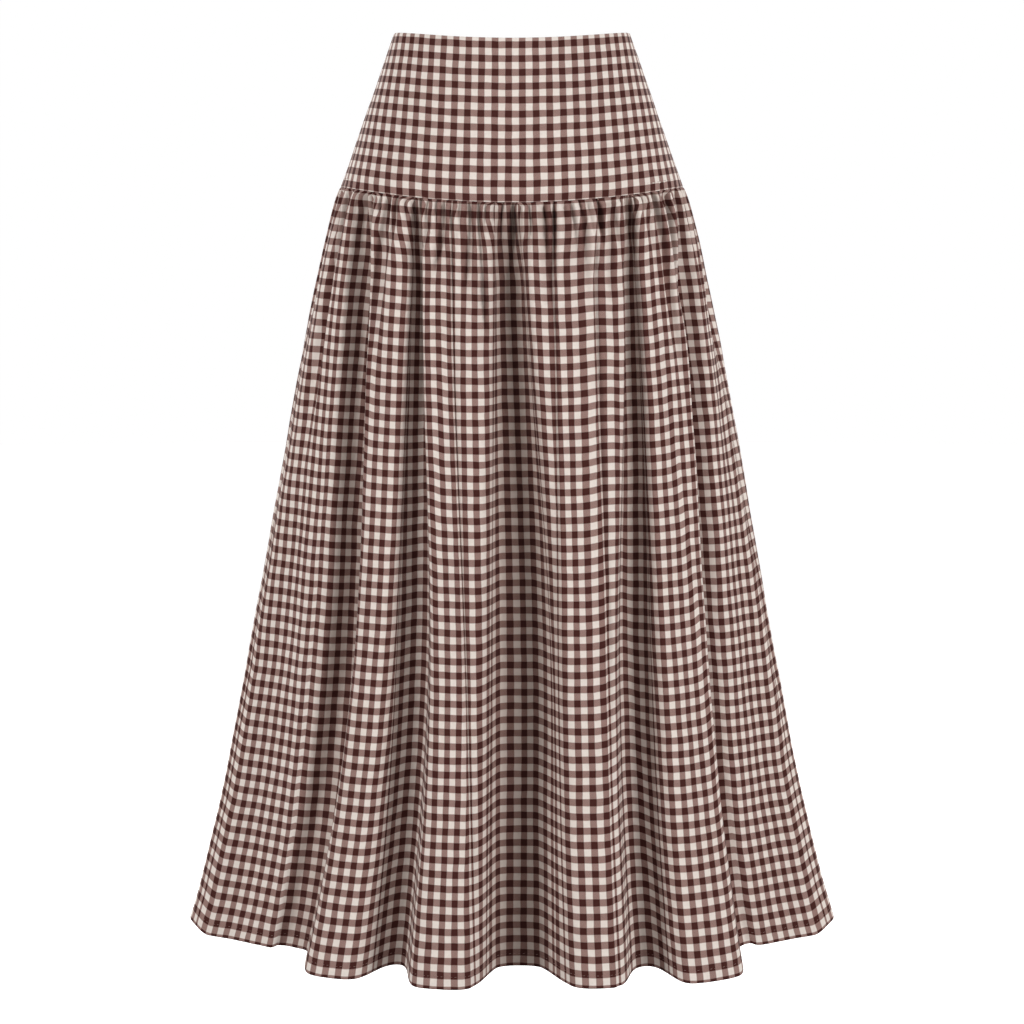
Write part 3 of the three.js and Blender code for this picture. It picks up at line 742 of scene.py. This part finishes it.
def zip_slider():
    """The slider: a rounded body with a raised nose, and two eyes that hold the pull tab's pins."""
    solids = Solids()
    middle, low, thick = SLIDER["middle"], SLIDER["bottom"], SLIDER["thick"]
    plate(solids, SLIDER["wide"], SLIDER["long"], SLIDER["corner"], middle, low, thick, SLIDER["bevel"])
    top = low + thick - NOSE["sunk"]
    plate(solids, NOSE["wide"], NOSE["long"], NOSE["corner"], middle, top, NOSE["thick"], NOSE["bevel"])
    reach = PIVOT["down"] - middle
    half, eye, hole = LUG["wide"] / 2, LUG["eye"], LUG["hole"]
    ring = ((-half, eye - 0.15), (-half + 0.15, eye), (half - 0.15, eye), (half, eye - 0.15),
            (half, hole + 0.1), (half - 0.1, hole), (-half + 0.1, hole), (-half, hole + 0.1))
    for side in (-1, 1):
        at = side * LUG["at"]
        arm = Solids()
        plate(arm, LUG["wide"], reach, LUG["corner"], middle + reach / 2 - 0.9, low, thick, LUG["bevel"])
        base = len(solids.verts)
        solids.verts += [(x + at, y, z) for x, y, z in arm.verts]
        solids.faces += [tuple(i + base for i in face) for face in arm.faces]
        solids.bands([circle(radius, at + x, PIVOT["down"], PIVOT["off"]) for x, radius in ring], True)
    return solids.object("zip_slider_body", on_back)


def zip_pull():
    """The pull tab: a barrel on two pins, and a drop-shaped blade with a sunk face and a round eye."""
    solids = Solids()
    rod(solids, PULL["barrel"], PULL["barrel_half"], 0.15)
    rod(solids, PULL["pin"], PULL["pin_half"], 0.1)
    low, thick = PULL["low"], PULL["thick"]
    neck = PIVOT["down"] + NECK["at"]
    plate(solids, NECK["wide"], NECK["long"], NECK["corner"], neck, low, thick, NECK["bevel"])
    middle = PIVOT["down"] + PULL["middle"]
    high = low + thick
    levels = ((low, 0.3), (low + 0.3, 0), (high - 0.3, 0), (high, 0.3), (high, 0.75), (high - 0.2, 0.95))
    rings = []
    for off, inset in levels:
        ring = rounded(PULL["wide"], PULL["long"], PULL["corner"], inset, middle, off)
        drop = smooth((ring[:, 1] - middle) / PULL["long"] + 0.55)
        ring[:, 0] *= PULL["narrowed"] + (1 - PULL["narrowed"]) * drop
        rings.append(ring)
    turn = np.concatenate([np.radians(90 * k + np.linspace(0, 90, 10)) for k in range(4)])
    eye = PULL["eye"]
    edges = ((high - 0.2, eye + 0.15), (high - 0.35, eye), (low + 0.15, eye), (low, eye + 0.15))
    for off, radius in edges:
        x, y = radius * np.cos(turn), PIVOT["down"] + PULL["eye_at"] + radius * np.sin(turn)
        rings.append(np.column_stack([x, y, np.full(len(turn), off)]))
    solids.bands(rings, True)
    return solids.object("zip_pull_tab", on_back)


def zip_tape():
    """The woven tape that the zip is carried on, sewn inside the yoke."""
    first, last = 180 - TAPE["half_angle"], 180 + TAPE["half_angle"]
    rows, insets = [], []
    for down in np.linspace(TAPE["top"], TAPE["bottom"], 40):
        row = yoke_row(first, last, down, 20, 0)
        row["woven"] = down
        rows.append(row)
        insets.append(TAPE["inset"])
    piece = sheet_mesh("zip_tape_cloth", rows, insets, 0)
    thicken(piece, TAPE["thick"])
    return piece


def zip_coil():
    """The zip's coil, a small spring of nylon along the middle of the tape."""
    solids = Solids()
    turns = int((COIL["bottom"] - COIL["top"]) / COIL["pitch"])
    down = np.array([0, 1.0, 0])
    rings = []
    for turn in np.linspace(0, 2 * np.pi * turns, turns * 12 + 1):
        radial = np.array([math.cos(turn), 0, math.sin(turn)])
        middle = np.array([COIL["half"] * radial[0], COIL["top"] + COIL["pitch"] * turn / (2 * np.pi),
                           COIL["off"] + COIL["deep"] * radial[2]])
        rings.append([middle + COIL["wire"] * (radial * math.cos(a) + down * math.sin(a)) for a in ROUND])
    solids.loft(rings)
    return solids.object("zip_coil", on_back)


class Shading:
    """Builds the nodes of one new material."""

    def __init__(self, name):
        self.material = bpy.data.materials.new(name)
        self.material.use_nodes = True
        self.tree = self.material.node_tree
        self.shader = self.tree.nodes["Principled BSDF"]

    def put(self, node, values):
        """Sets a node's inputs: a number or a colour on the socket, another node's output by a link."""
        for key, value in values.items():
            if isinstance(value, bpy.types.NodeSocket):
                self.tree.links.new(value, node.inputs[key])
            else:
                node.inputs[key].default_value = value

    def make(self, kind, values=None, **settings):
        node = self.tree.nodes.new(kind)
        for key, value in settings.items():
            setattr(node, key, value)
        self.put(node, values or {})
        return node

    def calc(self, operation, *values):
        return self.make("ShaderNodeMath", dict(enumerate(values)), operation=operation).outputs[0]

    def mix(self, factor, first, second):
        return self.make("ShaderNodeMix", {0: factor, 6: first, 7: second}, data_type="RGBA").outputs[2]

    def bump(self, height, strength, distance, normal=None):
        values = {"Height": height, "Strength": strength, "Distance": distance}
        if normal is not None:
            values["Normal"] = normal
        return self.make("ShaderNodeBump", values).outputs[0]


def linear(red, green, blue):
    """A colour given in display values, 0 to 255."""
    parts = [value / 255 for value in (red, green, blue)]
    return tuple(p / 12.92 if p <= 0.04045 else ((p + 0.055) / 1.055) ** 2.4 for p in parts) + (1,)


# The cloth's colours where both stripes are brown, where one is, and where both are cream.
BROWN = linear(68, 32, 28)
MIDDLE = linear(146, 112, 104)
CREAM = linear(232, 221, 213)

# Where the stripes start across and down, in repeats. The hundred keeps the distances above zero.
STRIPES_START = (100.25, 100.05)

# How crisp a stripe's edges are, how far they wander in metres, and how much single threads show.
STRIPE_EDGE = 11
WANDER = 0.0016
THREADS_SHOW = 0.14

# The painted shade keeps more of the cloth's red than of its green and blue.
SHADE_POWERS = (1.0, 1.14, 1.2)


def gingham():
    """Plain weave cotton with brown and cream stripes of the same width both ways."""
    build = Shading("gingham")
    make, calc, mix = build.make, build.calc, build.mix
    place = make("ShaderNodeUVMap", uv_map="cloth").outputs[0]
    drift = make("ShaderNodeTexNoise", {"Vector": place, "Scale": 45, "Detail": 3})
    parts = make("ShaderNodeSeparateXYZ", {0: place})
    shift = make("ShaderNodeSeparateColor", {0: drift.outputs["Color"]})
    sway = [calc("MULTIPLY", calc("SUBTRACT", shift.outputs[k], 0.5), WANDER) for k in (0, 1)]
    warp, weft = (calc("ADD", parts.outputs[k], sway[k]) for k in (0, 1))

    def stripe(at, start):
        turn = calc("FRACT", calc("ADD", calc("DIVIDE", at, CHECK / 1000), start))
        side = calc("MULTIPLY", calc("ABSOLUTE", calc("SUBTRACT", turn, 0.5)), 2)
        edge = calc("MULTIPLY_ADD", calc("SUBTRACT", side, 0.5), STRIPE_EDGE, 0.5)
        return make("ShaderNodeClamp", {0: edge}).outputs[0]

    across = stripe(warp, STRIPES_START[0])
    down = stripe(weft, STRIPES_START[1])
    flat = mix(down, mix(across, CREAM, MIDDLE), mix(across, MIDDLE, BROWN))
    turns = math.pi / (THREAD / 1000)
    over = calc("MULTIPLY", *(calc("SINE", calc("MULTIPLY", way, turns)) for way in (warp, weft)))
    top = make("ShaderNodeClamp", {0: calc("MULTIPLY_ADD", over, 1.6, 0.5)}).outputs[0]
    threads = mix(top, mix(down, CREAM, BROWN), mix(across, CREAM, BROWN))
    woven = mix(THREADS_SHOW, flat, threads)
    # Painted shade: each point's shade number darkens the woven colour, a little redder where it is
    # darker.
    darker = make("ShaderNodeAttribute", attribute_name="shade")
    light = calc("SUBTRACT", 1.0, darker.outputs["Fac"])
    painted_shade_cast = make("ShaderNodeCombineXYZ", {k: calc("POWER", light, p) for k, p in enumerate(SHADE_POWERS)})
    painted_shade_weave = make("ShaderNodeVectorMath", {0: woven, 1: painted_shade_cast.outputs[0]}, operation="MULTIPLY")
    cloudy = make("ShaderNodeTexNoise", {"Vector": place, "Scale": 260, "Detail": 5, "Roughness": 0.7})
    amount = calc("MULTIPLY_ADD", cloudy.outputs[0], 0.22, 0.89)
    mottle = make("ShaderNodeVectorMath", {0: painted_shade_weave.outputs[0], "Scale": amount}, operation="SCALE")
    squeeze = make("ShaderNodeVectorMath", {0: place, 1: (120, 26, 1)}, operation="MULTIPLY")
    wrinkle = make("ShaderNodeTexNoise", {"Vector": squeeze.outputs[0], "Scale": 1, "Detail": 4})
    soft = build.bump(wrinkle.outputs[0], 0.35, 0.0012)
    fine = build.bump(over, 0.35, 0.00008, soft)
    build.put(build.shader, {
        "Base Color": mottle.outputs[0], "Roughness": 0.88, "Specular IOR Level": 0.15,
        "Sheen Weight": 0.05, "Sheen Roughness": 0.5, "Normal": fine,
    })
    return build.material


def woven_tape():
    """Herringbone tape in dark brown."""
    build = Shading("zip_tape_weave")
    make, calc = build.make, build.calc
    place = make("ShaderNodeUVMap", uv_map="cloth").outputs[0]
    parts = make("ShaderNodeSeparateXYZ", {0: place})
    side = calc("ABSOLUTE", calc("SUBTRACT", calc("FRACT", calc("MULTIPLY", parts.outputs[0], 250)), 0.5))
    lean = calc("ADD", calc("MULTIPLY", side, 0.004), parts.outputs[1])
    rib = calc("MULTIPLY_ADD", calc("SINE", calc("MULTIPLY", lean, 2 * math.pi / 0.0009)), 0.5, 0.5)
    build.put(build.shader, {
        "Base Color": build.mix(rib, linear(48, 26, 23), linear(84, 50, 45)), "Roughness": 0.8,
        "Specular IOR Level": 0.2, "Normal": build.bump(rib, 0.6, 0.0002),
    })
    return build.material


def speckled(name, dark, light, scale, roughness, metallic):
    """A plain stuff whose colour and roughness vary a little in fine specks."""
    build = Shading(name)
    place = build.make("ShaderNodeTexCoord").outputs["Object"]
    noise = build.make("ShaderNodeTexNoise", {"Vector": place, "Scale": scale, "Detail": 5})
    specks = noise.outputs[0]
    build.put(build.shader, {
        "Base Color": build.mix(specks, dark, light), "Metallic": metallic,
        "Roughness": build.calc("MULTIPLY_ADD", specks, 0.2, roughness - 0.1),
        "Normal": build.bump(specks, 0.25, 0.0001),
    })
    return build.material


def dress(piece, material, slot, body, *nodes):
    """Gives a piece its material, the body that it rides and the nodes that it replaces; its slot is not
    used.
    """
    piece.data.materials.clear()
    piece.data.materials.append(material)
    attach(piece, body)
    if nodes:
        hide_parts(*nodes)


cotton = gingham()

yoke_front = yoke_panel("yoke_front_cloth", -90, 90, 200, 0.3)
yoke_left = yoke_panel("yoke_back_left_cloth", 90, 180, 100, 1.9)
yoke_right = yoke_panel("yoke_back_right_cloth", 180, 270, 100, 3.1)
skirt_front, front_panel = skirt_panel("skirt_front_cloth", -90, 90, 0.7)
skirt_back, back_panel = skirt_panel("skirt_back_cloth", 90, 270, 2.9)

dress(yoke_front, cotton, "gingham", "garment", "yoke_front")
dress(yoke_left, cotton, "gingham", "garment", "yoke_back_left")
dress(yoke_right, cotton, "gingham", "garment", "yoke_back_right")
dress(skirt_front, cotton, "gingham", "garment", "skirt_front")
dress(skirt_back, cotton, "gingham", "garment", "skirt_back")

thread = speckled("thread", linear(112, 78, 70), linear(176, 146, 136), 2600, 0.8, 0.0)
metal = speckled("lacquered_metal", linear(52, 30, 26), linear(96, 64, 56), 700, 0.34, 0.75)
nylon = speckled("nylon_coil", linear(58, 34, 30), linear(82, 52, 46), 900, 0.5, 0.0)
front_stitches = stitches("hem_stitches_front", front_panel)
back_stitches = stitches("hem_stitches_back", back_panel)
dress(front_stitches, thread, "gingham", "garment")
dress(back_stitches, thread, "gingham", "garment")

tape = zip_tape()
coil = zip_coil()
dress(tape, woven_tape(), "zip_tape", "garment", "zip_tape")
dress(coil, nylon, "zip_tape", "garment")
dress(zip_slider(), metal, "zip_metal", "garment", "zip_slider")
dress(zip_pull(), metal, "zip_metal", "zip_pull", "zip_pull")

# The camera's lens in pixels of a picture this wide, its tilt down in degrees, and its distance from the
# height that it looks at, in metres.
CAMERA = {"lens": 2970, "picture": 1024, "sensor": 36, "tilt": 5, "distance": 3.0, "height": -0.478}

# The middle of the room and its floor, and the point that the lamps look at, in metres.
FLOOR = (0, 0, -1.3)
LAMPS_AIM = (0, 0, -0.5)


def camera():
    data = bpy.data.cameras.new("camera")
    data.sensor_width = CAMERA["sensor"]
    data.lens = CAMERA["lens"] / CAMERA["picture"] * CAMERA["sensor"]
    data.clip_end = 50
    eye = bpy.data.objects.new("camera", data)
    tilt = math.radians(CAMERA["tilt"])
    distance = CAMERA["distance"]
    eye.location = (0, -distance * math.cos(tilt), CAMERA["height"] + distance * math.sin(tilt))
    eye.rotation_euler = (math.pi / 2 - tilt, 0, 0)
    bpy.context.scene.collection.objects.link(eye)
    bpy.context.scene.camera = eye


def glowing(name, color, glow):
    build = Shading(name)
    build.put(build.shader, {
        "Base Color": color, "Roughness": 0.9, "Specular IOR Level": 0.1,
        "Emission Color": (1, 1, 1, 1), "Emission Strength": glow,
    })
    return build.material


def studio():
    """A pale floor in a white room. Both are seen but light nothing, so the folds keep their shade."""
    bpy.ops.mesh.primitive_plane_add(size=30, location=FLOOR)
    floor = bpy.context.object
    floor.name = "studio_floor"
    floor.data.materials.append(glowing("floor_white", (0.8, 0.8, 0.8, 1), 0.85))
    bpy.ops.mesh.primitive_uv_sphere_add(radius=14, segments=48, ring_count=24, location=FLOOR)
    room = bpy.context.object
    room.name = "studio_room"
    room.data.materials.append(glowing("room_white", (0, 0, 0, 1), 1.0))
    room.visible_shadow = False
    for piece in (floor, room):
        piece.visible_diffuse = False
        piece.visible_glossy = False
    world = bpy.data.worlds.new("studio")
    world.use_nodes = True
    background = world.node_tree.nodes["Background"]
    background.inputs["Color"].default_value = (1, 0.99, 0.97, 1)
    background.inputs["Strength"].default_value = 0.25
    bpy.context.scene.world = world
    bpy.context.scene.view_settings.view_transform = "Standard"


def lamp(name, place, size, power):
    data = bpy.data.lights.new(name, "AREA")
    data.shape = "RECTANGLE"
    data.size, data.size_y = size
    data.energy = power
    light = bpy.data.objects.new(name, data)
    light.location = place
    aim = np.array(LAMPS_AIM) - np.array(place)
    tilt = math.atan2(math.hypot(aim[0], aim[1]), -aim[2])
    light.rotation_euler = (tilt, 0, math.atan2(-aim[0], aim[1]))
    bpy.context.scene.collection.objects.link(light)


camera()
studio()
lamp("key", (2.6, -1.75, 0.3), (0.9, 1.6), 60)
lamp("fill", (-2.75, -1.5, 0.4), (0.9, 1.6), 58)
lamp("front", (0.2, -3.4, 1.0), (1.6, 1.6), 22)
lamp("back_left", (1.5, 2.8, 0.8), (1.2, 1.6), 50)
lamp("back_right", (-1.5, 2.8, 0.6), (1.2, 1.6), 50)
